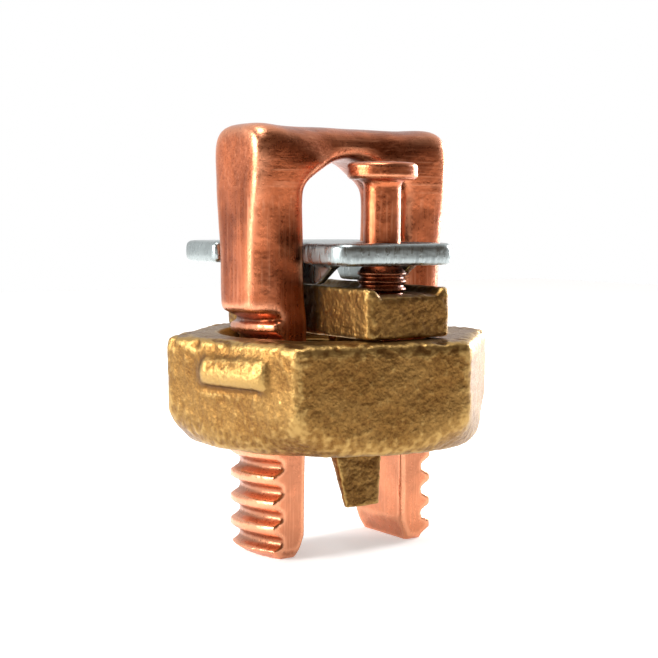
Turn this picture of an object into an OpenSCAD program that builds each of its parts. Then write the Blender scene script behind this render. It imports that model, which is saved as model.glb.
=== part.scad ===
// Split bolt connector: a two-legged bolt, a hexagon nut, a pressure bar, a spacer and its stud.
// The cable axis is Y, the two legs stand at +X and -X, and Z = 0 is the open end of the legs.

/* [Threaded legs] */
// Major diameter of the thread cut on the outside of the two legs
thread_d = 22.1; // [20:0.1:24]
// Distance from one thread crest to the next
thread_pitch = 2.6; // [2:0.1:3.2]
// Depth of the thread, from crest to root
thread_depth = 1.05; // [0.8:0.05:1.2]
// Width of the flat on each thread crest
crest_w = 0.75; // [0.5:0.05:0.9]
// Width of the flat at each thread root
root_w = 0.65; // [0.5:0.05:0.8]
// Height of a thread crest above the leg ends, at the +X side
thread_start = 1.7; // [0:0.1:2.6]
// Gap between the flat inner faces of the legs
leg_gap = 12.1; // [11:0.1:13.5]
// Width of the legs along the cable axis
leg_w = 8.7; // [7:0.1:9.5]
// How much each leg thins at its open end
leg_taper = 0.25; // [0:0.05:0.5]
// Chamfer on the outside of the leg ends
leg_end_chamfer = 0.8; // [0.3:0.1:1.2]
// Round of the two upright inner edges of each leg
leg_edge_r = 0.35; // [0.2:0.05:0.6]
// Height of the bevel on the inner edge of the leg ends
leg_bevel_h = 2.2; // [1:0.1:3]
// Width of the bevel on the inner edge of the leg ends
leg_bevel_w = 0.9; // [0.4:0.1:1.2]

/* [Arch] */
// Height of the shoulder where the thread stops
shoulder_z = 25.6; // [24.5:0.1:27]
// How far the faced ends of the arch stand out past the thread crests
shoulder_step = 1.35; // [0.4:0.05:1.6]
// Height of the bevel under the shoulder
shoulder_bevel = 1.1; // [0.6:0.1:1.3]
// Height at which the legs begin to bend into the arch
bend_z = 38; // [37:0.1:40]
// Rise of the arch's underside, from the bend to its crown
arch_rise = 3.1; // [2.5:0.1:5]
// Thickness of the arch at its crown
arch_t = 3.5; // [2.5:0.1:4.5]
// Width of the arch along the cable axis at its waist
arch_w = 7.8; // [6.5:0.1:8.7]
// How far the ends of the arch rise above its waist
end_rise = 0.5; // [0:0.1:0.8]
// Extra half width of the arch at its two upper corners
corner_swell = 0.45; // [0:0.05:0.6]
// Round of the rod's outer edges, along the cable axis and square to it
rod_r = 3.1; // [2:0.1:3.6]
// How much of the rod was faced off at the shoulder
faced_low = 0.25; // [0.1:0.05:0.5]
// How much of the rod was faced off at the upper corners
faced_high = 1.7; // [0.8:0.1:2]

/* [Nut] */
// Width of the nut across its flats
nut_af = 31.75; // [30:0.05:33]
// Height of the nut
nut_h = 11.4; // [9:0.1:12]
// Height of the nut's lower face above the leg ends
nut_z = 11.6; // [8:0.1:12]
// Angle that the nut is turned on the thread
nut_yaw = -15.5; // [-30:0.5:30]
// Radius of the nut's vertical edges
nut_corner_r = 1.2; // [0.5:0.1:2]
// Radius of the nut's top edge
nut_edge = 0.9; // [0.3:0.1:1.2]
// Radius at which the cone under the nut's corners meets its lower face
nut_cone_r = 15.3; // [14.5:0.1:15.8]
// Radial width of the countersink at the nut's top
nut_sink = 1.3; // [0.8:0.1:1.8]
// Width of the raised pad on one flat of the nut
pad_w = 8.8; // [6:0.1:12]
// Height of the raised pad
pad_h = 3.1; // [2:0.1:5]
// How far the pad stands out of the flat
pad_t = 0.45; // [0.2:0.05:0.6]
// Distance from the nut's top down to the pad
pad_drop = 1.8; // [1:0.1:3]
// Offset of the pad from the middle of its flat, away from the nearest corner
pad_shift = 1; // [0:0.1:3]

/* [Pressure bar] */
// Clearance between each side of the pressure bar and the leg beside it
bar_side_gap = 0.8; // [0.4:0.1:1.5]
// Length of the pressure bar along the cable axis
bar_l = 27.4; // [26:0.1:28]
// Height of the pressure bar
bar_h = 5.2; // [4.5:0.1:6]
// Depth of the trough along the bar's top
trough_d = 0.7; // [0.3:0.1:1]
// Width of each rim beside the trough
rim_w = 1.1; // [0.8:0.1:1.5]
// Corner radius of the bar's cast edges
bar_edge_r = 0.7; // [0.3:0.1:1.2]
// Width of the tang where it leaves the bar
tang_w = 6.2; // [5:0.1:7]
// Width of the tang at its tip
tang_tip_w = 4.4; // [3:0.1:5]
// Thickness of the tang
tang_t = 1.7; // [1.2:0.1:2]
// Thickness of the tang at its tip
tang_tip_t = 0.8; // [0.5:0.1:1.2]
// Distance from the thread axis to the tang's front face
tang_y = 5.1; // [4.5:0.1:6]
// How far the tang's tip is splayed forward
tang_splay = 0.9; // [0.4:0.1:1.5]
// Length of the tang below the nut's lower face
tang_drop = 6.8; // [5:0.1:8]

/* [Spacer] */
// Thickness of the spacer plate
plate_t = 2.3; // [1.8:0.1:2.8]
// Height of the lugs that hold the plate off the pressure bar
lug_h = 2.05; // [1:0.05:2.3]
// Thickness of each lug
lug_t = 1.2; // [0.8:0.1:1.5]
// Distance from each side of the neck in to its lug
lug_set = 0.12; // [0.05:0.01:0.3]
// Clearance between the plate's neck and the legs
neck_gap = 0.35; // [0.3:0.05:0.8]
// Width of the plate's front lobe
front_lobe_w = 14.8; // [13.4:0.1:16]
// Distance from the stud's axis to the front edge of the plate
front_margin = 3.7; // [2.8:0.1:4.5]
// Width of the plate's rear lobe
rear_lobe_w = 23.4; // [15:0.1:24]
// Distance from the thread axis to the rear edge of the plate
rear_reach = 13.4; // [10:0.1:14]
// Corner radius at the rear of the plate
rear_r = 3; // [1:0.1:4]
// Corner radius at the front of the plate
front_r = 2.2; // [0.8:0.1:3]
// Round of the plate's pressed edges
plate_edge = 0.55; // [0.3:0.05:0.7]

/* [Stud] */
// Distance from the legs' front faces to the stud's axis
stud_reach = 4.4; // [4.2:0.05:5.5]
// Diameter of the stud's plain post
post_d = 3.8; // [3.4:0.1:4.6]
// Free length of the post above the spacer
post_h = 6.4; // [5:0.1:7]
// Major diameter of the stud's thread
stud_thread_d = 5; // [4.8:0.1:5.6]
// Pitch of the stud's thread
stud_pitch = 0.8; // [0.6:0.05:1]
// Depth of the stud's thread
stud_thread_depth = 0.4; // [0.25:0.05:0.5]
// Length of the stud screwed into the pressure bar
stud_grip = 4; // [3:0.1:4.5]
// Diameter of the stud's flange
flange_d = 7.2; // [6:0.1:8]
// Thickness of the stud's flange
flange_t = 1.7; // [1.2:0.1:2.4]
// Radius of the fillet under the flange
flange_fillet = 0.8; // [0.3:0.1:1]

/* [Fits] */
// Clearance between the nut's thread and the legs' thread, square to the axis
thread_gap = 0.12; // [0.08:0.01:0.2]
// Clearance along the axis on each side of a thread
thread_end_gap = 0.08; // [0.05:0.01:0.12]
// Height left between faces that rest on each other
seat_gap = 0.02; // [0.01:0.01:0.05]
// Radial clearance round the stud where it is screwed in
stud_fit = 0.03; // [0.02:0.01:0.06]
// Radial clearance between the stud's thread and the hole in the spacer
slide_fit = 0.15; // [0.1:0.05:0.3]
// Extra width of each notch in the spacer, past the legs' front and rear faces
notch_gap = 0.55; // [0.3:0.05:0.8]

/* [Hidden] */
$fn = 64;
thread_r = thread_d / 2;
thread_root_r = thread_r - thread_depth;
leg_x = leg_gap / 2;
leg_y = leg_w / 2;
arch_x = thread_r + shoulder_step;
crown_z = bend_z + arch_rise;
crown_top = crown_z + arch_t;
nut_top = nut_z + nut_h;
bar_z = nut_top + seat_gap;
bar_top = bar_z + bar_h;
bar_w = leg_gap - 2 * bar_side_gap;
plate_z = bar_top + seat_gap + lug_h;
plate_top = plate_z + plate_t;
neck_x = leg_x - neck_gap;
notch_y = leg_y + notch_gap;
stud_y = -(leg_y + stud_reach);
stud_thread_r = stud_thread_d / 2;
flange_z = plate_top + post_h;
tang_tip_z = nut_z - tang_drop;
over = 0.5;
ring_steps = 5;

// Points of an arc about c, from angle a0 to angle a1 in n steps
function arc(c, r, a0, a1, n) =
    [for (i = [0:n]) let (a = a0 + (a1 - a0) * i / n) c + r * [cos(a), sin(a)]];

// A convex or concave outline with the corner at each point rounded to its own radius
function rounded(points, radii, n = 5) =
    let (count = len(points))
    [for (i = [0:count - 1]) each
        let (
            p = points[i],
            u = unit(points[(i + count - 1) % count] - p),
            v = unit(points[(i + 1) % count] - p),
            half = acos(u * v) / 2,
            centre = p + unit(u + v) * radii[i] / sin(half),
            from = p + u * radii[i] / tan(half) - centre,
            to = p + v * radii[i] / tan(half) - centre,
            a0 = atan2(from.y, from.x),
            turn = atan2(from.x * to.y - from.y * to.x, from * to)
        )
        arc(centre, radii[i], a0, a0 + turn, n)];

function unit(v) = v / norm(v);

// Distance from the middle to a superellipse with half axes a and b, at polar angle t
function super_r(a, b, power, t) =
    1 / pow(pow(abs(cos(t)) / a, power) + pow(abs(sin(t)) / b, power), 1 / power);

// Triangles that join ring i to ring i + 1 of a loft, where every ring has n points
function ring_faces(i, n) =
    [for (j = [0:n - 1]) let (k = (j + 1) % n) each
        [[i * n + j, (i + 1) * n + j, (i + 1) * n + k], [i * n + j, (i + 1) * n + k, i * n + k]]];

// A closed solid through a row of rings, each a closed loop of the same number of points
module loft(rings) {
    n = len(rings[0]);
    last = len(rings) - 1;
    polyhedron(
        points = [for (ring = rings) each ring],
        faces = concat(
            [[for (j = [0:n - 1]) j]],
            [for (i = [0:last - 1]) each ring_faces(i, n)],
            [[for (j = [n - 1:-1:0]) last * n + j]]
        ));
}

// Height and radius of the thread profile's corners, one crest and one root to each pitch
function thread_rows(first, last, crest_r, root_r, crest, root) =
    [for (k = [first:last]) each let (z = thread_start + k * thread_pitch) [
        [z - crest / 2, crest_r],
        [z + crest / 2, crest_r],
        [z + thread_pitch / 2 - root / 2, root_r],
        [z + thread_pitch / 2 + root / 2, root_r]]];

function helix_point(row, a) =
    [row[1] * cos(a), row[1] * sin(a), row[0] + thread_pitch * a / 360];

// Half width across the inner faces of the legs, at height z
function inner_x(z) =
    leg_x + leg_taper * max(0, 1 - z / shoulder_z) + leg_bevel_w * max(0, 1 - z / leg_bevel_h);

// One slanted section of a threaded leg. It follows the helix, so each row of the thread
// is one section. side is 1 for the +X leg and -1 for the -X leg
function leg_ring(side, z, r, half_w = leg_y, slant = 1) =
    let (
        reach = asin(half_w / r),
        count = 2 * (ring_steps + 1),
        outer = [for (i = [0:count - 1]) let (a = reach * (2 * i / (count - 1) - 1))
            [r * cos(a), r * sin(a)]],
        edge = leg_edge_r,
        inner = [for (c = [1, -1]) each
            [for (i = [0:ring_steps]) let (a = 90 * i / ring_steps)
                c > 0
                    ? [edge * (1 - sin(a)), half_w - edge * (1 - cos(a))]
                    : [edge * (1 - cos(a)), -(half_w - edge * (1 - sin(a)))]]]
    )
    concat(
        [for (p = outer) let (h = z + slant * side * helix_rise(p)) [side * p.x, p.y, h]],
        [for (q = inner)
            let (p = [inner_x(z) + q.x, q.y], h = z + slant * side * helix_rise(p))
            [side * (inner_x(max(h, 0)) + q.x), q.y, h]]);

function helix_rise(p) = thread_pitch * atan2(p.y, p.x) / 360;

// All the sections of one threaded leg, from its end up to the bevel under the shoulder
function leg_rings(side) =
    let (
        end_r = thread_r - leg_end_chamfer,
        top = shoulder_z - shoulder_bevel,
        phase = side > 0 ? 0 : thread_pitch / 2,
        rows = [for (row = thread_rows(-1, ceil(shoulder_z / thread_pitch), thread_r,
            thread_root_r, crest_w, root_w)) [row[0] + phase, row[1]]],
        used = [for (row = rows) if (row[0] > 0.45 && row[0] < top - 0.3) row]
    )
    concat(
        [leg_ring(side, 0, min(end_r, thread_root_r), leg_y - leg_end_chamfer / 2, 0)],
        [for (row = used) leg_ring(side, row[0], min(row[1], end_r + row[0]))],
        [leg_ring(side, top, thread_root_r, leg_y, 0)]);

// Half width and corner radii of the arch's section. The place runs from 0 at the shoulder
// to 1 at the bend and 2 at the crown
function arch_half_w(place) =
    lookup(place, [[0, leg_y], [0.8, leg_y], [1.15, leg_y + corner_swell],
        [1.35, leg_y + corner_swell], [1.6, arch_w / 2]]);
function faced(place) =
    lookup(place, [[0, faced_low], [0.5, 2 * faced_low], [1, 0.75 * faced_high], [1.2, faced_high]]);
function arch_edge_t(place) = lookup(place, [[0, rod_r], [1.3, rod_r], [1.6, arch_t * 0.6]]);
function arch_inner_r(place) = lookup(place, [[0, 0.4], [0.3, 1.2], [1, 1.8], [2, 2.2]]);
function arch_inner_t(place) = lookup(place, [[0, 0.4], [0.3, 1], [1, 1.4], [2, arch_t * 0.35]]);

// A section of the arch between its inner point and outer point, both in the XZ plane. The
// rod's round ends are faced off flat at arch_x
function arch_ring(inner, outer, place) =
    let (
        w = arch_half_w(place),
        along = unit(outer - inner),
        corners = [
            [outer, -1, rod_r, arch_edge_t(place), 0],
            [outer, 1, rod_r, arch_edge_t(place), 90],
            [inner, 1, arch_inner_r(place), arch_inner_t(place), 180],
            [inner, -1, arch_inner_r(place), arch_inner_t(place), 270]]
    )
    [for (c = corners) each [for (i = [0:ring_steps]) let (
        a = c[4] + 90 * i / ring_steps,
        inward = c[4] < 180 ? -1 : 1,
        y = c[1] * (w - c[2]) - c[2] * cos(a),
        p = c[0] + along * c[3] * (inward + sin(a))
    ) [min(p.x, arch_x), y, p.y]]];

// Sections of the +X half of the arch, from the shoulder up to the crown
function arch_half() =
    let (rise = bend_z - shoulder_z)
    concat(
        [for (i = [0:6]) let (s = i / 6, z = shoulder_z + rise * s)
            arch_ring([inner_x(z), z], [arch_x + faced(s), z], s)],
        [for (t = [5:5:85]) arch_bend_ring(t)]);

// A section of the bend at polar angle t, from 0 at the leg to 90 at the crown
function arch_bend_ring(t) =
    let (
        way = [cos(t), sin(t)],
        place = 1 + t / 90,
        inner = super_r(inner_x(bend_z), crown_z - bend_z, 1.4, t) * way,
        outer = super_r(arch_x + faced(place), crown_top - bend_z, 6, t) * way,
        lift = end_rise * lookup(outer.x / arch_x, [[0.7, 0], [0.84, 1]]) * lookup(t, [[0, 0], [20, 1]])
    )
    arch_ring([0, bend_z] + inner, [0, bend_z + lift] + outer, place);

// The same section on the -X side, with its points in the same order round the loft
function flipped(ring) = [for (p = ring) [-p.x, p.y, p.z]];

function reversed(list) = [for (i = [len(list) - 1:-1:0]) list[i]];

module split_bolt() {
    half = arch_half();
    color("peru")
        loft(concat(
            leg_rings(1),
            half,
            [arch_bend_ring(90)],
            reversed([for (ring = half) flipped(ring)]),
            reversed(leg_rings(-1))));
}

// Outline of the nut: six flats, each in equal steps, and six rounded corners
function nut_outline() =
    let (
        corner = nut_af / sqrt(3),
        around = rounded(
            [for (k = [0:5]) corner * [cos(60 * k), sin(60 * k)]],
            [for (k = [0:5]) nut_corner_r]),
        count = len(around),
        flat_steps = 8
    )
    [for (i = [0:count - 1]) let (p = around[i], q = around[(i + 1) % count]) each
        (norm(q - p) > nut_af / 4
            ? [for (j = [0:flat_steps - 1]) p + (q - p) * j / flat_steps]
            : [p])];

// A section of the nut at height z: the outline, drawn in by the soft cone under its corners
// and by the round of its top edge
function nut_ring(outline, z) =
    let (
        cone = nut_cone_r + z,
        soft = 36,
        drop = max(0, nut_edge - (nut_h - z)),
        inset = nut_edge - sqrt(nut_edge ^ 2 - drop ^ 2) + max(0, 0.3 - z)
    )
    [for (p = outline) let (
        r = norm(p),
        drawn = pow(pow(r, -soft) + pow(cone, -soft), -1 / soft) - inset
    ) [p.x * drawn / r, p.y * drawn / r, z]];

// The space inside the nut's thread: the legs' thread form, opened by the clearances
module nut_thread_space() {
    columns = 40;
    first = floor((nut_z - thread_start) / thread_pitch) - 2;
    last = ceil((nut_top - thread_start) / thread_pitch) + 1;
    rows = thread_rows(first, last, thread_r + thread_gap, thread_root_r + thread_gap,
        crest_w + 2 * thread_end_gap, root_w - 2 * thread_end_gap);
    m = len(rows) - 5;
    spare = len(rows) - 1 - m;
    seam = [for (row = rows) helix_point(row, 0)];
    wall = [for (i = [1:columns - 1]) each
        [for (j = [0:m]) helix_point(rows[j], 360 * i / columns)]];
    low_tip = len(seam) + len(wall);
    points = concat(seam, wall, [[0, 0, rows[0][0] - 1], [0, 0, rows[len(rows) - 1][0] + 1]]);
    polyhedron(points = points, faces = concat(
        [for (i = [0:columns - 1], j = [0:m - 1]) each let (
            a = nut_index(i, j, m, columns),
            b = nut_index(i + 1, j, m, columns)
        ) [[a, b + 1, b], [a, a + 1, b + 1]]],
        [for (i = [0:columns - 1])
            [low_tip, nut_index(i, 0, m, columns), nut_index(i + 1, 0, m, columns)]],
        [for (j = [0:spare - 1]) [low_tip, j + 1, j]],
        [for (i = [0:columns - 1])
            [low_tip + 1, nut_index(i + 1, m, m, columns), nut_index(i, m, m, columns)]],
        [for (j = [0:spare - 1]) [low_tip + 1, m + j, m + j + 1]]));
}

// Place of a point in the nut's thread wall. The last column closes on the seam, one turn up
function nut_index(i, j, m, columns) =
    i == 0 ? j : i == columns ? j + 4 : m + 5 + (i - 1) * (m + 1) + j;

// The raised pad, with sloping sides
module nut_pad() {
    slope = pad_t * 0.8;
    rotate([0, 0, nut_yaw - 150])
        translate([nut_af / 2, pad_shift, nut_h - pad_drop - pad_h / 2])
            rotate([90, 0, 90])
                loft([for (s = [[-over, slope], [0, slope], [pad_t, 0]])
                    let (x = pad_w / 2 + s[1] - slope / 2, y = pad_h / 2 + s[1] - slope / 2)
                    [for (p = rounded([[-x, -y], [x, -y], [x, y], [-x, y]], [0.6, 0.6, 0.6, 0.6], 3))
                        [p.x, p.y, s[0]]]]);
}

module nut_blank() {
    outline = nut_outline();
    low = [0, 0.3, 0.7, 1.1, 1.5, 1.9, 2.3, 2.8, 3.4, 4.2];
    high = [for (a = [0:22.5:90]) nut_h - nut_edge * (1 - sin(a))];
    rotate([0, 0, nut_yaw - 60])
        loft([for (z = concat(low, high)) nut_ring(outline, z)]);
}

module nut() {
    sink_r = thread_r + nut_sink;
    sink_h = sink_r - thread_root_r + over;
    color("darkgoldenrod")
        difference() {
            translate([0, 0, nut_z])
                union() {
                    nut_blank();
                    nut_pad();
                }
            nut_thread_space();
            translate([0, 0, nut_top - sink_h])
                cylinder(h = sink_h + over, r1 = sink_r - sink_h, r2 = sink_r + over);
            translate([0, 0, nut_z - over])
                cylinder(h = thread_depth + over + over, r1 = thread_r + 2 * over, r2 = thread_root_r);
        }
}

// End view of the pressure bar, drawn in by inset, with the trough between its two rims
function bar_outline(inset) =
    let (
        x = bar_w / 2 - inset,
        h = bar_h - inset,
        trough_x = bar_w / 2 - rim_w,
        slope = trough_d * 0.8,
        foot = 0.25
    )
    rounded(
        [[-x, 0], [x, 0], [x, h], [trough_x, h], [trough_x - slope, h - trough_d],
            [-trough_x + slope, h - trough_d], [-trough_x, h], [-x, h]],
        [foot, foot, 0.3, 0.2, 0.6, 0.6, 0.2, 0.3], 3);

// The bar's body, with rounded ends
module bar_block() {
    flank = [for (a = [0:30:90]) [bar_l / 2 - bar_edge_r * (1 - sin(a)), bar_edge_r * (1 - cos(a))]];
    rings = concat(
        [for (e = reversed(flank)) [e[0], e[1]]],
        [for (e = flank) [-e[0], e[1]]]);
    loft([for (e = rings) [for (p = bar_outline(e[1])) [p.x, e[0], bar_z + p.y]]]);
}

// The tang hangs through the nut between the legs, tapers and is splayed forward at its tip
module tang() {
    w = tang_w / 2;
    tip = tang_tip_w / 2;
    top = bar_z + over;
    bend = nut_z - over;
    front = -tang_y;
    rear = front + tang_t;
    tip_front = front - tang_splay;
    intersection() {
        rotate([90, 0, 0])
            linear_extrude(4 * tang_y, center = true)
                polygon([[-w, top], [-w, bend], [-tip, tang_tip_z], [tip, tang_tip_z], [w, bend], [w, top]]);
        rotate([90, 0, 90])
            linear_extrude(tang_w + over, center = true)
                polygon([[front, top], [front, bend], [tip_front, tang_tip_z],
                    [tip_front + tang_tip_t, tang_tip_z], [rear, bend], [rear, top]]);
    }
}

module pressure_bar() {
    color("goldenrod")
        difference() {
            union() {
                bar_block();
                tang();
            }
            translate([0, stud_y, bar_top - stud_grip - seat_gap])
                cylinder(h = stud_grip + over, r = stud_thread_r + stud_fit);
        }
}

// Plan of the spacer, drawn in by inset: a narrow front lobe, a neck and a wide rear lobe
function spacer_outline(inset) =
    let (
        front = front_lobe_w / 2 - inset,
        rear = rear_lobe_w / 2 - inset,
        y0 = stud_y - front_margin + inset,
        y1 = notch_y + inset,
        y2 = rear_reach - inset,
        x = neck_x - inset,
        out = plate_edge + 0.15 - inset,
        in = 0.4 + inset
    )
    rounded(
        [[-front, y0], [front, y0], [front, -y1], [x, -y1], [x, y1], [rear, y1], [rear, y2],
            [-rear, y2], [-rear, y1], [-x, y1], [-x, -y1], [-front, -y1]],
        [front_r - inset, front_r - inset, out * 0.5, in * 0.5, in, out, rear_r - inset,
            rear_r - inset, out, in, in * 0.5, out * 0.5]);

module spacer_plate() {
    round_steps = [for (a = [0:45:90]) [plate_edge * (1 - cos(a)), plate_edge * (1 - sin(a))]];
    levels = concat(
        [for (e = round_steps) [plate_z + e[0], e[1]]],
        [for (e = reversed(round_steps)) [plate_top - e[0], e[1]]]);
    loft([for (e = levels) [for (p = spacer_outline(e[1])) [p.x, p.y, e[0]]]]);
}

// One turned-down lug on the +X side of the neck, with its sloping ends carried up into the plate
module lug() {
    tail = 1.5 * (lug_h + over);
    translate([neck_x - lug_set - lug_t / 2, 0, 0])
        rotate([90, 0, 90])
            linear_extrude(lug_t, center = true)
                polygon([
                    [-notch_y - tail, plate_z + over],
                    [-notch_y, plate_z - lug_h],
                    [notch_y, plate_z - lug_h],
                    [notch_y + tail / 2, plate_z + over]]);
}

module spacer() {
    color("silver")
        difference() {
            union() {
                spacer_plate();
                lug();
                mirror([1, 0, 0]) lug();
            }
            translate([0, stud_y, plate_z - over])
                cylinder(h = plate_t + 2 * over, r = stud_thread_r + slide_fit);
        }
}

// Half section of the stud: threaded end, plain post and flange
function stud_profile() =
    let (
        z0 = bar_top - stud_grip,
        z1 = plate_z - seat_gap * 5,
        turns = floor((z1 - z0) / stud_pitch) - 1,
        root = stud_thread_r - stud_thread_depth,
        post = post_d / 2,
        rim = flange_d / 2,
        r = flange_fillet
    )
    concat(
        [[0, z0], [root, z0]],
        [for (i = [0:turns]) each [
            [root, z0 + i * stud_pitch + stud_pitch * 0.15],
            [stud_thread_r, z0 + i * stud_pitch + stud_pitch * 0.45],
            [stud_thread_r, z0 + i * stud_pitch + stud_pitch * 0.6]]],
        [[root, z1 - stud_pitch * 0.2], [post, z1]],
        [for (p = arc([post + r, flange_z - r], r, 180, 90, 6)) p],
        [[rim - 0.3, flange_z], [rim, flange_z + 0.3], [rim, flange_z + flange_t - 0.4],
            [rim - 0.15, flange_z + flange_t - 0.15], [rim - 0.5, flange_z + flange_t],
            [0, flange_z + flange_t]]);

module stud() {
    color("sienna")
        translate([0, stud_y, 0])
            rotate_extrude() polygon(stud_profile());
}

split_bolt();
nut();
pressure_bar();
spacer();
stud();
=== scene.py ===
"""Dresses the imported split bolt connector: cast, forged and plated surfaces, stage and camera."""

import math

import bmesh
import bpy
import numpy as np
from bpy.props import FloatProperty, FloatVectorProperty, PointerProperty
from mathutils import Matrix, Vector, noise


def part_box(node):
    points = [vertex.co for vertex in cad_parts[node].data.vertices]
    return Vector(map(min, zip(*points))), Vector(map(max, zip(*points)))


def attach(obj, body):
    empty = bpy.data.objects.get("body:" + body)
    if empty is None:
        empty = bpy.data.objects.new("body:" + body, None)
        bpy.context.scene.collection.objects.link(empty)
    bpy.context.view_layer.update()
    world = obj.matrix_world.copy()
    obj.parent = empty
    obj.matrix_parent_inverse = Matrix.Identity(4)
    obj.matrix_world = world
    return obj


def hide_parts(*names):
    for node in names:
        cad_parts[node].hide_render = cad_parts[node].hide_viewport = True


bl_info = {
    "name": "Split Bolt Connector",
    "version": (1, 0, 0),
    "blender": (4, 5, 0),
    "location": "View3D > Sidebar > Connector",
    "description": "Gives a split bolt connector its forged, cast and plated surfaces",
    "category": "Object",
}

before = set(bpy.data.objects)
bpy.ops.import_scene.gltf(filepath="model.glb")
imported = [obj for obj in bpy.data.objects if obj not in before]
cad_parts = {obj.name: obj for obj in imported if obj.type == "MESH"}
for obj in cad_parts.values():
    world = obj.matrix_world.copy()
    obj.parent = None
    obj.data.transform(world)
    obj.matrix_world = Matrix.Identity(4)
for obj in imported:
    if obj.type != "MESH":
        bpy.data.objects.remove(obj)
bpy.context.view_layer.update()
MM = 0.001

# Heights between which a treatment of the split bolt fades in, in metres above the leg ends
ARCH_BAND = (36 * MM, 40 * MM)
UPPER_BAND = (24 * MM, 26 * MM)
FORGED_BAND = (25 * MM, 27 * MM)
STREAK_TURN_BAND = (36 * MM, 39 * MM)
OPEN_END_BAND = (13 * MM, 10 * MM)

# The nut's pad: the outward direction of its flat, its place along it and its drop below the rim
PAD_OUT = (-0.968, -0.25)
PAD_ALONG = 0.5 * MM
PAD_MIDDLE_DROP = 3.6 * MM
PAD_CREASE_DROP = 5.0 * MM
PAD_FACE_BAND = (14.3 * MM, 14.8 * MM)

# Radii of the nut: where its bore ends and its cast outside begins, and where its rim begins
NUT_OUTSIDE_BAND = (12.0 * MM, 12.8 * MM)
NUT_RIM_BAND = (14.8 * MM, 15.6 * MM)

# Name, place in metres, side in metres and power in watts of each soft lamp
LAMPS = (
    ("Left softbox", (-0.30, 0.07, 0.12), 0.16, 1.15),
    ("Right softbox", (0.26, 0.05, 0.08), 0.10, 0.85),
    ("Top softbox", (-0.06, -0.02, 0.32), 0.14, 0.7),
)
LAMP_AIM = (0, 0, 0.022)
FLOOR_GLOW = 0.45
WORLD_FRONT = (-0.30, -0.95, 0.0)
WORLD_FADE = 0.55
WORLD_BACK_TONE = (1.0, 1.0, 1.0, 1)
WORLD_FRONT_TONE = (0.12, 0.075, 0.045, 1)


# ---------------------------------------------------------------- sizes and colours


class CopperSettings(bpy.types.PropertyGroup):
    """Forged copper of the split bolt and the stud"""

    color: FloatVectorProperty(
        name="Copper", description="Colour of clean copper", subtype="COLOR",
        size=3, min=0, max=1, default=(0.50, 0.140, 0.056))
    # Tarnish colour; a darker copy of it is also painted as shade in the hollows.
    dark: FloatVectorProperty(
        name="Tarnish", description="Colour of tarnished copper", subtype="COLOR",
        size=3, min=0, max=1, default=(0.26, 0.062, 0.022))
    # Rubbed copper colour, also painted on the edges as a highlight.
    bright: FloatVectorProperty(
        name="Rubbed copper", description="Colour of copper where it has been rubbed or cut",
        subtype="COLOR", size=3, min=0, max=1, default=(0.90, 0.42, 0.24))
    roughness: FloatProperty(
        name="Roughness", description="Roughness of the copper", min=0, max=1, default=0.30)
    voxel: FloatProperty(
        name="Detail size", description="Size of the finest forged detail", subtype="DISTANCE",
        unit="LENGTH", min=0.0001, max=0.001, default=0.24 * MM)


class BronzeSettings(bpy.types.PropertyGroup):
    """Cast bronze of the nut and the pressure bar"""

    color: FloatVectorProperty(
        name="Bronze", description="Colour of the cast bronze", subtype="COLOR",
        size=3, min=0, max=1, default=(0.205, 0.104, 0.028))
    # The casting skin colour darkens the grain and is also painted as shade in the hollows.
    dark: FloatVectorProperty(
        name="Casting skin", description="Colour of the dark skin in the pits", subtype="COLOR",
        size=3, min=0, max=1, default=(0.125, 0.055, 0.015))
    # Rubbed bronze colour, also painted on the edges as a highlight.
    bright: FloatVectorProperty(
        name="Rubbed bronze", description="Colour of the bronze on its rubbed edges",
        subtype="COLOR", size=3, min=0, max=1, default=(0.44, 0.28, 0.095))
    roughness: FloatProperty(
        name="Roughness", description="Roughness of the cast skin", min=0, max=1, default=0.40)
    grain: FloatProperty(
        name="Grain depth", description="Depth of the cast grain", subtype="DISTANCE",
        unit="LENGTH", min=0, max=0.0003, default=0.05 * MM)
    voxel: FloatProperty(
        name="Detail size", description="Size of the finest cast detail", subtype="DISTANCE",
        unit="LENGTH", min=0.0001, max=0.001, default=0.25 * MM)


class PlateSettings(bpy.types.PropertyGroup):
    """Plated steel of the spacer"""

    color: FloatVectorProperty(
        name="Plating", description="Colour of the bright plating", subtype="COLOR",
        size=3, min=0, max=1, default=(0.33, 0.37, 0.37))
    dark: FloatVectorProperty(
        name="Dull plating", description="Colour of the plating in its marks", subtype="COLOR",
        size=3, min=0, max=1, default=(0.16, 0.18, 0.18))
    roughness: FloatProperty(
        name="Roughness", description="Roughness of the plating", min=0, max=1, default=0.28)


class StageSettings(bpy.types.PropertyGroup):
    """Camera and studio"""

    turn: FloatProperty(
        name="View angle", description="Angle of the camera round the connector",
        subtype="ANGLE", default=math.radians(34.8))
    pitch: FloatProperty(
        name="View height", description="Angle of the camera above the horizon",
        subtype="ANGLE", default=math.radians(4.5))
    roll: FloatProperty(
        name="Roll", description="Roll of the camera", subtype="ANGLE", default=math.radians(0.3))
    distance: FloatProperty(
        name="Distance", description="Distance of the camera", subtype="DISTANCE",
        unit="LENGTH", default=150 * MM)
    aim: FloatProperty(
        name="Aim height", description="Height that the camera looks at", subtype="DISTANCE",
        unit="LENGTH", default=23.16 * MM)
    aside: FloatProperty(
        name="Aside", description="How far the camera stands to its left", subtype="DISTANCE",
        unit="LENGTH", default=0.35 * MM)
    lens: FloatProperty(
        name="Lens", description="Focal length in millimetres", default=76.27)
    floor: FloatVectorProperty(
        name="Floor", description="Colour of the floor", subtype="COLOR",
        size=3, min=0, max=1, default=(0.93, 0.93, 0.93))


SETTINGS = {
    "connector_copper": CopperSettings,
    "connector_bronze": BronzeSettings,
    "connector_plate": PlateSettings,
    "connector_stage": StageSettings,
}


# ---------------------------------------------------------------- mesh helpers


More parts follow.
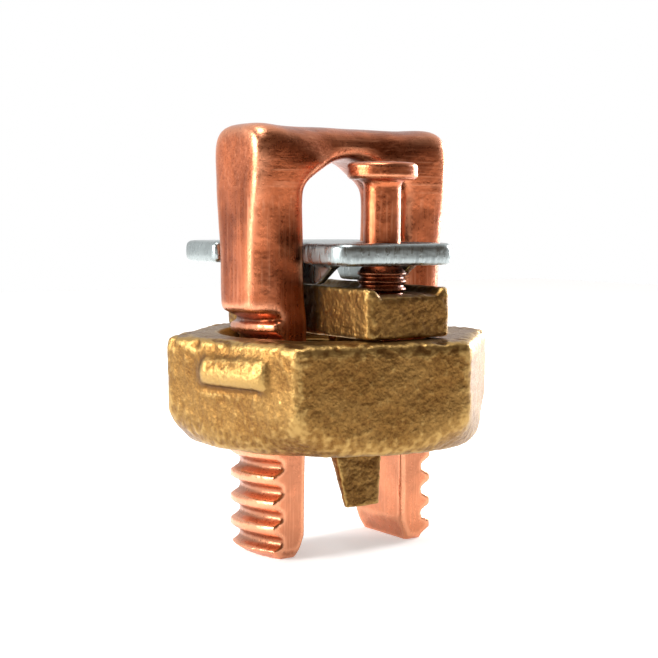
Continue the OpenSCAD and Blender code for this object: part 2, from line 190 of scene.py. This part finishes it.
def merged_copy(node, name):
    """A new object with the merged mesh of a CAD node."""
    bm = bmesh.new()
    bm.from_mesh(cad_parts[node].data)
    bmesh.ops.remove_doubles(bm, verts=bm.verts, dist=0.001 * MM)
    mesh = bpy.data.meshes.new(name)
    bm.to_mesh(mesh)
    bm.free()
    piece = bpy.data.objects.new(name, mesh)
    bpy.context.scene.collection.objects.link(piece)
    return piece


def keep_modifiers(piece):
    """Applies the modifiers of a piece to its mesh."""
    depsgraph = bpy.context.evaluated_depsgraph_get()
    mesh = bpy.data.meshes.new_from_object(piece.evaluated_get(depsgraph))
    piece.modifiers.clear()
    old = piece.data
    piece.data = mesh
    bpy.data.meshes.remove(old)


def remesh(piece, voxel):
    """Gives the piece an even skin of small faces."""
    skin = piece.modifiers.new("Skin", "REMESH")
    skin.mode = "VOXEL"
    skin.voxel_size = voxel
    keep_modifiers(piece)


def read(piece, what, path):
    values = np.empty(len(piece.data.vertices) * 3, np.float32)
    what.foreach_get(path, values)
    return values.reshape(-1, 3).astype(np.float64)


def points_of(piece):
    return read(piece, piece.data.vertices, "co")


def normals_of(piece):
    return read(piece, piece.data.vertex_normals, "vector")


def set_points(piece, points):
    piece.data.vertices.foreach_set("co", points.astype(np.float32).ravel())
    piece.data.update()


def edges_of(piece):
    edges = np.empty(len(piece.data.edges) * 2, np.int32)
    piece.data.edges.foreach_get("vertices", edges)
    return edges.reshape(-1, 2)


def neighbour_mean(values, edges):
    """Mean of each vertex's neighbours."""
    count = len(values)
    a, b = edges[:, 0], edges[:, 1]
    degree = np.bincount(a, minlength=count) + np.bincount(b, minlength=count)
    total = np.stack([
        np.bincount(a, values[b, k], count) + np.bincount(b, values[a, k], count)
        for k in range(values.shape[1])], 1)
    return total / np.maximum(degree, 1)[:, None]


def relax(piece, rounds, pull=0.5, push=-0.52):
    """Smooths the skin without shrinking it."""
    points, edges = points_of(piece), edges_of(piece)
    for _ in range(rounds):
        for factor in (pull, push):
            points += factor * (neighbour_mean(points, edges) - points)
    set_points(piece, points)


def soften(piece, mask, rounds):
    """Rounds the skin off where the mask is 1."""
    points, edges = points_of(piece), edges_of(piece)
    for _ in range(rounds):
        points += 0.5 * mask[:, None] * (neighbour_mean(points, edges) - points)
    set_points(piece, points)


def mark_edges(piece, reach, scale):
    """Writes how far each vertex stands out of, or in from, its surroundings. The materials
    brighten what stands out, as rubbed wear and painted highlight, and paint shade where the skin
    lies in.
    """
    points, normals, edges = points_of(piece), normals_of(piece), edges_of(piece)
    smooth = points.copy()
    for _ in range(reach):
        smooth = neighbour_mean(smooth, edges)
    out = ((points - smooth) * normals).sum(1) / scale
    for name, values in (("edge", np.clip(out, 0, 1)), ("painted_shade", np.clip(-out, 0, 1))):
        layer = piece.data.attributes.new(name, "FLOAT", "POINT")
        layer.data.foreach_set("value", values.astype(np.float32))


def noise_field(points, scale, stretch=(1, 1, 1), seed=0.0):
    """Smooth noise between -1 and 1 at each point. scale is the number of bumps per millimetre."""
    factor = np.array(stretch) * scale / MM
    return np.array([noise.noise(Vector(p)) for p in points * factor + seed])


def smooth_step(low, high, values):
    t = np.clip((values - low) / (high - low), 0, 1)
    return t * t * (3 - 2 * t)


def shade_smooth(piece):
    piece.data.shade_smooth()


def finish_piece(piece, node, body, material):
    """Gives a piece its material and puts it in place of its CAD node."""
    shade_smooth(piece)
    piece.data.materials.clear()
    piece.data.materials.append(material)
    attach(piece, body)
    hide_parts(node)


# ---------------------------------------------------------------- material helpers


class Recipe:
    """A material under construction: short calls that add nodes and link them."""

    def __init__(self, name):
        self.material = bpy.data.materials.new(name)
        self.material.use_nodes = True
        self.tree = self.material.node_tree
        self.shader = self.tree.nodes["Principled BSDF"]
        self.place = self.add("ShaderNodeTexCoord").outputs["Object"]

    def add(self, kind, inputs=(), **settings):
        node = self.tree.nodes.new(kind)
        for key, value in settings.items():
            setattr(node, key, value)
        for key, value in dict(inputs).items():
            if isinstance(value, bpy.types.NodeSocket):
                self.tree.links.new(value, node.inputs[key])
            else:
                node.inputs[key].default_value = value
        return node

    def millimetres(self, stretch=(1, 1, 1)):
        """Object coordinates in millimetres, stretched."""
        return self.add("ShaderNodeMapping", {
            "Vector": self.place, "Scale": [s / MM for s in stretch]}).outputs[0]

    def noise(self, scale, detail=3.0, stretch=(1, 1, 1), rough=0.5):
        return self.add("ShaderNodeTexNoise", {
            "Vector": self.millimetres(stretch), "Scale": scale, "Detail": detail,
            "Roughness": rough}).outputs["Fac"]

    def cells(self, scale):
        return self.add("ShaderNodeTexVoronoi", {
            "Vector": self.millimetres(), "Scale": scale,
            "Smoothness": 0.6}, feature="SMOOTH_F1").outputs["Distance"]

    def attribute(self, name):
        return self.add("ShaderNodeAttribute", attribute_name=name).outputs["Fac"]

    def span(self, value, low, high, to_low=0.0, to_high=1.0):
        return self.add("ShaderNodeMapRange", {
            "Value": value, "From Min": low, "From Max": high, "To Min": to_low,
            "To Max": to_high}, interpolation_type="SMOOTHSTEP").outputs[0]

    def math(self, operation, a, b=0.0):
        node = self.add("ShaderNodeMath", operation=operation, use_clamp=False)
        for k, value in enumerate((a, b)):
            if isinstance(value, bpy.types.NodeSocket):
                self.tree.links.new(value, node.inputs[k])
            else:
                node.inputs[k].default_value = value
        return node.outputs[0]

    def mix(self, factor, first, second):
        node = self.add("ShaderNodeMix", data_type="RGBA")
        for key, value in ((0, factor), (6, first), (7, second)):
            if isinstance(value, bpy.types.NodeSocket):
                self.tree.links.new(value, node.inputs[key])
            else:
                if key:
                    value = (*value[:3], 1.0)
                node.inputs[key].default_value = value
        return node.outputs[2]

    def bump(self, height, depth, under=None):
        """Bump of a height between 0 and 1, depth in metres."""
        inputs = {"Height": height, "Strength": 1.0, "Distance": depth}
        if under is not None:
            inputs["Normal"] = under
        return self.add("ShaderNodeBump", inputs).outputs[0]

    def finish(self, color, roughness, normal):
        self.shader.inputs["Metallic"].default_value = 1.0
        for key, value in (("Base Color", color), ("Roughness", roughness), ("Normal", normal)):
            self.tree.links.new(value, self.shader.inputs[key])
        return self.material


def copper_material(name, settings):
    """Forged copper: soft clouds of tarnish, drawn streaks along the rod, rubbed edges with a
    painted highlight, and painted shade in the hollows.
    """
    r = Recipe(name)
    clouds = r.noise(0.16, 4.0, rough=0.6)
    height = r.add("ShaderNodeSeparateXYZ", {"Vector": r.place}).outputs["Z"]
    streaks = r.noise(1.0, 5.0, stretch=(3.2, 3.2, 0.12), rough=0.65)
    across = r.noise(1.0, 5.0, stretch=(0.12, 3.2, 3.2), rough=0.65)
    bent = r.span(height, *STREAK_TURN_BAND)
    streaks = r.math("ADD", r.math("MULTIPLY", streaks, r.math("SUBTRACT", 1.0, bent)),
                     r.math("MULTIPLY", across, bent))
    fine = r.noise(5.0, 3.0, rough=0.6)
    color = r.mix(r.span(clouds, 0.38, 0.62), settings.dark, settings.color)
    color = r.mix(r.math("MULTIPLY", r.span(streaks, 0.5, 0.75), 0.35), color, settings.bright)
    # Edges that stand out are brightened, partly as rubbed wear and partly as a painted highlight.
    color = r.mix(r.math("MULTIPLY", r.span(r.attribute("edge"), 0.1, 0.8), 0.5), color,
                  settings.bright)
    # Painted shade: the copper is darkened where its skin lies in, in creases and hollows.
    color = r.mix(r.math("MULTIPLY", r.attribute("painted_shade"), 0.8), color,
                  [0.4 * part for part in settings.dark])
    pale = r.math("MULTIPLY", r.span(height, *OPEN_END_BAND), 0.3)
    color = r.mix(pale, color, settings.bright)
    rough = r.math("ADD", r.span(fine, 0.2, 0.8, -0.05, 0.07),
                   r.span(streaks, 0.3, 0.7, settings.roughness - 0.05, settings.roughness + 0.08))
    normal = r.bump(clouds, 0.25 * MM)
    normal = r.bump(streaks, 0.02 * MM, normal)
    normal = r.bump(fine, 0.012 * MM, normal)
    return r.finish(color, rough, normal)


def bronze_material(name, settings):
    """Cast bronze: grains and pits, painted shade in the hollows, and bright rubbed edges with a
    painted highlight.
    """
    r = Recipe(name)
    clouds = r.noise(0.2, 3.0, rough=0.6)
    grains = r.noise(2.6, 4.0, rough=0.7)
    pits = r.cells(3.0)
    color = r.mix(r.span(grains, 0.3, 0.6), settings.dark, settings.color)
    color = r.mix(r.math("MULTIPLY", r.span(clouds, 0.4, 0.65), 0.2), color, settings.bright)
    # Edges that stand out are brightened, partly as rubbed wear and partly as a painted highlight.
    color = r.mix(r.math("MULTIPLY", r.span(r.attribute("edge"), 0.1, 0.7), 0.8), color,
                  settings.bright)
    # Painted shade: the bronze is darkened where its skin lies in, such as the crease under the
    # pad.
    color = r.mix(r.math("MULTIPLY", r.attribute("painted_shade"), 0.7), color, settings.dark)
    rough = r.span(grains, 0.3, 0.7, settings.roughness + 0.08, settings.roughness - 0.06)
    normal = r.bump(grains, 0.045 * MM)
    normal = r.bump(pits, 0.03 * MM, normal)
    return r.finish(color, rough, normal)


def plating_material(name, settings):
    """Bright plating over sheared and pressed steel."""
    r = Recipe(name)
    clouds = r.noise(0.4, 4.0, rough=0.6)
    shear = r.noise(1.0, 4.0, stretch=(2.5, 2.5, 0.4), rough=0.6)
    color = r.mix(r.span(clouds, 0.42, 0.62), settings.color, settings.dark)
    color = r.mix(r.math("MULTIPLY", r.span(shear, 0.4, 0.65), 0.5), settings.color, color)
    rough = r.span(shear, 0.3, 0.7, settings.roughness - 0.05, settings.roughness + 0.12)
    normal = r.bump(shear, 0.03 * MM, r.bump(clouds, 0.1 * MM))
    return r.finish(color, rough, normal)


# ---------------------------------------------------------------- pieces


class CONNECTOR_OT_split_bolt(bpy.types.Operator):
    """Make the forged split bolt"""

    bl_idname = "connector.split_bolt"
    bl_label = "Split Bolt"

    def execute(self, context):
        settings = context.scene.connector_copper
        piece = merged_copy("split_bolt", "split_bolt_forged")
        remesh(piece, settings.voxel)
        relax(piece, 3)
        soften(piece, smooth_step(*ARCH_BAND, points_of(piece)[:, 2]), 40)
        soften(piece, smooth_step(*UPPER_BAND, points_of(piece)[:, 2]), 12)
        points, normals = points_of(piece), normals_of(piece)
        above = smooth_step(*FORGED_BAND, points[:, 2])
        waves = noise_field(points, 0.22) - 0.6
        points += normals * (waves * above * 0.08 * MM)[:, None]
        set_points(piece, points)
        mark_edges(piece, 6, 0.06 * MM)
        finish_piece(piece, "split_bolt", "bolt",
                     copper_material("forged copper", settings))
        return {"FINISHED"}


class CONNECTOR_OT_nut(bpy.types.Operator):
    """Make the cast nut"""

    bl_idname = "connector.nut"
    bl_label = "Nut"

    def execute(self, context):
        settings = context.scene.connector_bronze
        piece = merged_copy("nut", "nut_cast")
        remesh(piece, settings.voxel)
        relax(piece, 3)
        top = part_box("nut")[1][2]
        soften(piece, smooth_step(*NUT_OUTSIDE_BAND, np.hypot(*points_of(piece)[:, :2].T)), 9)
        points, normals = points_of(piece), normals_of(piece)
        out = PAD_OUT[0] * points[:, 0] + PAD_OUT[1] * points[:, 1]
        along = np.abs(PAD_OUT[0] * points[:, 1] - PAD_OUT[1] * points[:, 0] - PAD_ALONG)
        drop = top - points[:, 2]
        face = smooth_step(*PAD_FACE_BAND, out)
        # The crease under the pad is cut into the skin, and the bronze material paints shade into
        # it.
        crease = np.exp(-((drop - PAD_CREASE_DROP) / (0.40 * MM)) ** 2)
        crease *= smooth_step(5.2 * MM, 3.2 * MM, along) * face
        swell = np.exp(-((drop - PAD_MIDDLE_DROP) / (1.3 * MM)) ** 2)
        swell *= smooth_step(5.4 * MM, 3.6 * MM, along) * face
        points += normals * ((0.45 * swell - 0.35 * crease) * MM)[:, None]
        radius = np.hypot(points[:, 0], points[:, 1])
        outside = smooth_step(*NUT_OUTSIDE_BAND, radius)
        rim = smooth_step(1.6 * MM, 0.4 * MM, top - points[:, 2]) * smooth_step(
            *NUT_RIM_BAND, radius)
        nicks = np.clip(noise_field(points, 0.8, seed=23) + 0.1, 0, 1) * rim
        points -= normals * (nicks * 0.30 * MM)[:, None]
        grain = noise_field(points, 1.3) + 0.6 * noise_field(points, 2.6, seed=7) - 0.9
        waves = noise_field(points, 0.25, seed=3) - 0.5
        points += normals * (outside * (grain * settings.grain + waves * 0.1 * MM))[:, None]
        set_points(piece, points)
        mark_edges(piece, 6, 0.08 * MM)
        finish_piece(piece, "nut", "nut", bronze_material("cast bronze", settings))
        return {"FINISHED"}


class CONNECTOR_OT_pressure_bar(bpy.types.Operator):
    """Make the cast pressure bar"""

    bl_idname = "connector.pressure_bar"
    bl_label = "Pressure Bar"

    def execute(self, context):
        settings = context.scene.connector_bronze
        piece = merged_copy("pressure_bar", "pressure_bar_cast")
        remesh(piece, 0.52 * settings.voxel)
        soften(piece, np.ones(len(piece.data.vertices)), 22)
        points, normals = points_of(piece), normals_of(piece)
        grain = noise_field(points, 1.1, seed=11) + 0.5 * noise_field(points, 2.4, seed=17) - 0.9
        points += normals * (grain * settings.grain * 1.3)[:, None]
        set_points(piece, points)
        mark_edges(piece, 8, 0.08 * MM)
        finish_piece(piece, "pressure_bar", "bar",
                     bronze_material("cast bronze bar", settings))
        return {"FINISHED"}


class CONNECTOR_OT_spacer(bpy.types.Operator):
    """Make the pressed spacer plate"""

    bl_idname = "connector.spacer"
    bl_label = "Spacer"

    def execute(self, context):
        settings = context.scene.connector_plate
        piece = merged_copy("spacer", "spacer_pressed")
        remesh(piece, 0.12 * MM)
        soften(piece, np.ones(len(piece.data.vertices)), 24)
        finish_piece(piece, "spacer", "spacer",
                     plating_material("bright plating", settings))
        return {"FINISHED"}


class CONNECTOR_OT_stud(bpy.types.Operator):
    """Make the flanged stud"""

    bl_idname = "connector.stud"
    bl_label = "Stud"

    def execute(self, context):
        settings = context.scene.connector_copper
        piece = merged_copy("stud", "stud_headed")
        remesh(piece, 0.11 * MM)
        relax(piece, 2)
        mark_edges(piece, 6, 0.06 * MM)
        points = points_of(piece)
        plate_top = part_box("spacer")[1][2]
        # Painted shade: the stud's thread below the spacer's top is darkened all round, where the
        # plate shades it.
        shade_below_plate = np.where(points[:, 2] < plate_top - 0.5 * MM, 1.0, 0.0)
        piece.data.attributes["painted_shade"].data.foreach_set("value", shade_below_plate.astype(np.float32))
        finish_piece(piece, "stud", "bar",
                     copper_material("headed copper", settings))
        return {"FINISHED"}


class CONNECTOR_OT_stage(bpy.types.Operator):
    """Make the floor, the soft lamps, the world and the camera"""

    bl_idname = "connector.stage"
    bl_label = "Stage"

    def execute(self, context):
        settings = context.scene.connector_stage
        context.scene.view_settings.view_transform = "Standard"
        self.make_floor(settings)
        self.make_world(context.scene)
        for lamp in LAMPS:
            self.make_lamp(*lamp)
        self.make_camera(context.scene, settings)
        return {"FINISHED"}

    def make_floor(self, settings):
        bm = bmesh.new()
        bmesh.ops.create_grid(bm, x_segments=1, y_segments=1, size=0.5)
        mesh = bpy.data.meshes.new("floor")
        bm.to_mesh(mesh)
        bm.free()
        floor = bpy.data.objects.new("floor", mesh)
        bpy.context.scene.collection.objects.link(floor)
        r = Recipe("floor")
        r.shader.inputs["Base Color"].default_value = (*settings.floor, 1)
        r.shader.inputs["Roughness"].default_value = 1.0
        r.shader.inputs["Specular IOR Level"].default_value = 0.0
        path = r.add("ShaderNodeLightPath")
        white = r.add("ShaderNodeEmission", {"Color": (1, 1, 1, 1), "Strength": FLOOR_GLOW})
        both = r.add("ShaderNodeAddShader", {0: r.shader.outputs[0], 1: white.outputs[0]})
        seen = r.math("MAXIMUM", path.outputs["Is Camera Ray"], path.outputs["Is Glossy Ray"])
        seen = r.math("MAXIMUM", seen, path.outputs["Is Transmission Ray"])
        choose = r.add("ShaderNodeMixShader", {
            0: seen, 1: r.shader.outputs[0], 2: both.outputs[0]})
        out = next(n for n in r.tree.nodes if n.type == "OUTPUT_MATERIAL")
        r.tree.links.new(choose.outputs[0], out.inputs["Surface"])
        mesh.materials.append(r.material)

    def make_world(self, scene):
        world = bpy.data.worlds.new("Studio")
        scene.world = world
        world.use_nodes = True
        tree = world.node_tree
        tree.nodes.clear()
        link = tree.links.new

        def add(kind, **settings_):
            node = tree.nodes.new(kind)
            for key, value in settings_.items():
                setattr(node, key, value)
            return node

        path = add("ShaderNodeLightPath")
        where = add("ShaderNodeTexCoord")
        front = add("ShaderNodeVectorMath", operation="DOT_PRODUCT")
        link(where.outputs["Generated"], front.inputs[0])
        front.inputs[1].default_value = WORLD_FRONT
        shade = add("ShaderNodeMapRange", interpolation_type="SMOOTHSTEP")
        link(front.outputs["Value"], shade.inputs["Value"])
        shade.inputs["From Min"].default_value = -WORLD_FADE
        shade.inputs["From Max"].default_value = WORLD_FADE
        tones = add("ShaderNodeMix", data_type="RGBA")
        link(shade.outputs[0], tones.inputs[0])
        tones.inputs[6].default_value = WORLD_BACK_TONE
        tones.inputs[7].default_value = WORLD_FRONT_TONE
        dim = add("ShaderNodeBackground")
        link(tones.outputs[2], dim.inputs["Color"])
        white = add("ShaderNodeBackground")
        white.inputs["Color"].default_value = (1, 1, 1, 1)
        choose = add("ShaderNodeMixShader")
        link(path.outputs["Is Camera Ray"], choose.inputs[0])
        link(dim.outputs[0], choose.inputs[1])
        link(white.outputs[0], choose.inputs[2])
        link(choose.outputs[0], add("ShaderNodeOutputWorld").inputs[0])

    def make_lamp(self, name, place, size, power):
        data = bpy.data.lights.new(name, "AREA")
        data.shape = "RECTANGLE"
        data.size = data.size_y = size
        data.energy = power
        lamp = bpy.data.objects.new(name, data)
        lamp.location = place
        aim = Vector(LAMP_AIM) - Vector(place)
        lamp.rotation_euler = aim.to_track_quat("-Z", "Y").to_euler()
        bpy.context.scene.collection.objects.link(lamp)

    def make_camera(self, scene, settings):
        data = bpy.data.cameras.new("Camera")
        data.lens = settings.lens
        data.clip_start = 0.005
        camera = bpy.data.objects.new("Camera", data)
        scene.collection.objects.link(camera)
        turn, pitch = settings.turn, settings.pitch
        right = Vector((math.cos(turn), -math.sin(turn), 0))
        back = Vector((
            -math.sin(turn) * math.cos(pitch), -math.cos(turn) * math.cos(pitch),
            math.sin(pitch)))
        up = back.cross(right)
        place = Vector((0, 0, settings.aim)) + settings.distance * back - settings.aside * right
        camera.matrix_world = (
            Matrix.Translation(place)
            @ Matrix((right, up, back)).transposed().to_4x4()
            @ Matrix.Rotation(settings.roll, 4, "Z"))
        scene.camera = camera


class CONNECTOR_PT_panel(bpy.types.Panel):
    """Sidebar panel of the connector's pieces"""

    bl_idname = "CONNECTOR_PT_panel"
    bl_label = "Split Bolt Connector"
    bl_space_type = "VIEW_3D"
    bl_region_type = "UI"
    bl_category = "Connector"

    def draw(self, context):
        for operator in OPERATORS:
            self.layout.operator(operator.bl_idname)
        for name in SETTINGS:
            group = getattr(context.scene, name)
            box = self.layout.box()
            for key in group.__annotations__:
                box.prop(group, key)


OPERATORS = (
    CONNECTOR_OT_stage,
    CONNECTOR_OT_split_bolt,
    CONNECTOR_OT_nut,
    CONNECTOR_OT_pressure_bar,
    CONNECTOR_OT_spacer,
    CONNECTOR_OT_stud,
)
CLASSES = (*SETTINGS.values(), *OPERATORS, CONNECTOR_PT_panel)


def register():
    for item in CLASSES:
        bpy.utils.register_class(item)
    for name, group in SETTINGS.items():
        setattr(bpy.types.Scene, name, PointerProperty(type=group))


def unregister():
    for name in SETTINGS:
        delattr(bpy.types.Scene, name)
    for item in reversed(CLASSES):
        bpy.utils.unregister_class(item)


def main():
    register()
    bpy.ops.connector.stage()
    bpy.ops.connector.split_bolt()
    bpy.ops.connector.nut()
    bpy.ops.connector.pressure_bar()
    bpy.ops.connector.spacer()
    bpy.ops.connector.stud()


if __name__ == "__main__":
    main()
